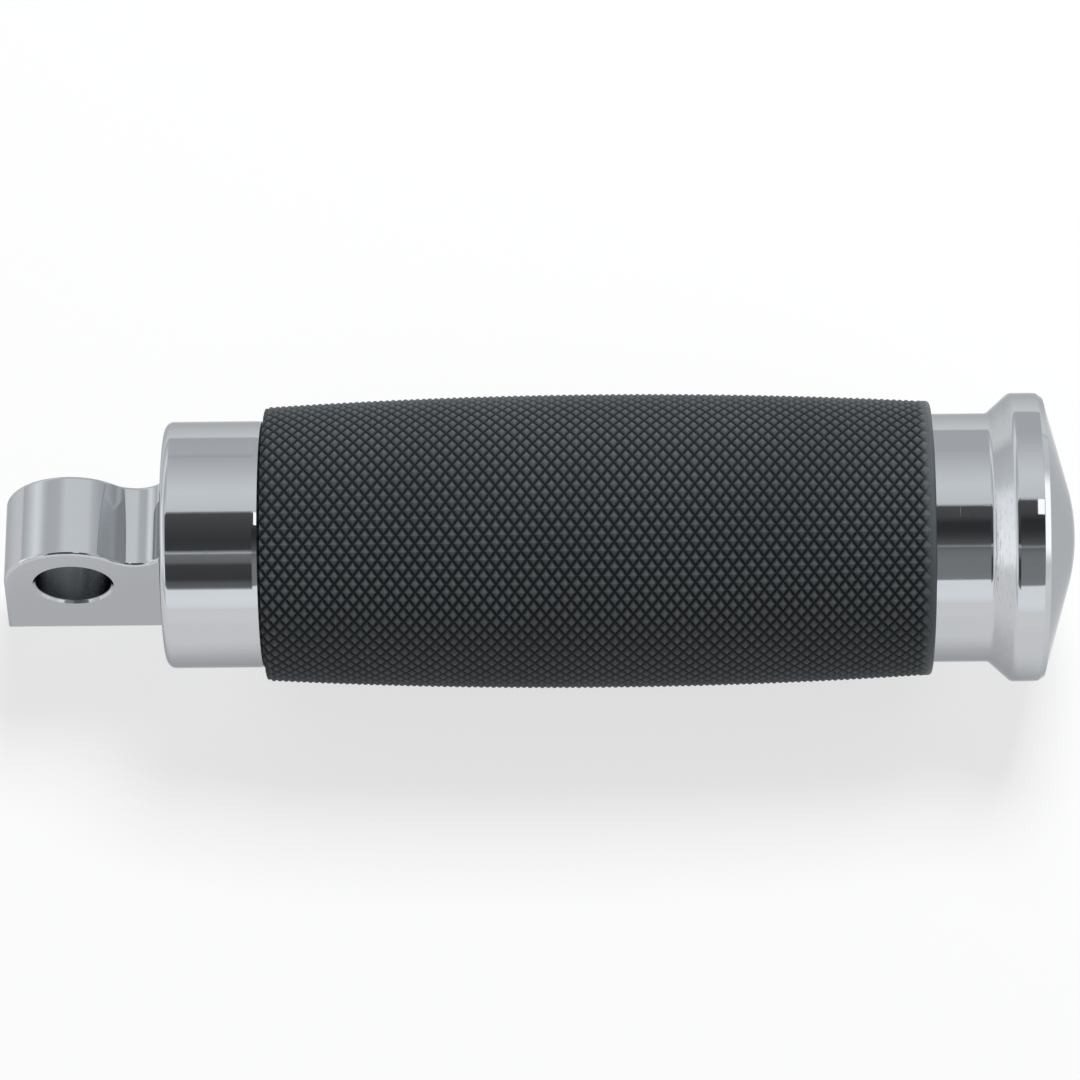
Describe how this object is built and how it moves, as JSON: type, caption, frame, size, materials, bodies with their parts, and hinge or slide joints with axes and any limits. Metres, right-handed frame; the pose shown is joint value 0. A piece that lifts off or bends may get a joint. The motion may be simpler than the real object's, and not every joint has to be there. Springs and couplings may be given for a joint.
{
  "type": "foot peg",
  "caption": "Motorcycle foot peg: flat tongue with a clevis pin bore, chrome collars, barrel-shaped knurled rubber sleeve on a steel core tube, and a domed end cap that unscrews.",
  "frame": {"origin": "centre of the clevis pin bore in the tongue", "axes": "+X along the peg to the domed end, +Y along the pin bore, +Z to the rounded side of the tongue, away from its flat stop face"},
  "size_m": [0.1388, 0.038, 0.038],
  "materials": {
    "mount_chrome": "polished",
    "cap_chrome": "polished",
    "sleeve_rubber": "satin",
    "core_steel": "satin",
    "stud_steel": "satin",
    "seal_rubber": "satin"
  },
  "bodies": {
    "peg": {"male_mount": "mount_chrome", "rubber_sleeve": "sleeve_rubber", "core_tube": "core_steel", "core_dowels": "core_steel", "centre_stud": "stud_steel", "stud_lock_pin": "core_steel", "inner_seal_ring": "seal_rubber"},
    "washer": {"slip_washer": "core_steel"},
    "cap": {"end_cap": "cap_chrome", "thread_insert": "stud_steel", "outer_seal_ring": "seal_rubber"}
  },
  "joints": [
    {"name": "cap_travel", "type": "slide", "parent": "peg", "child": "washer", "axis": [1, 0, 0], "range_m": [0, 0.018]},
    {"name": "cap_turn", "type": "hinge", "parent": "washer", "child": "cap", "pos_m": [0.1107, 0, 0], "axis": [1, 0, 0], "range_deg": [0, 4321]}
  ],
  "couplings": [
    {"joint": "cap_turn", "follows": "cap_travel", "rad_per_m": 4188.8}
  ]
}
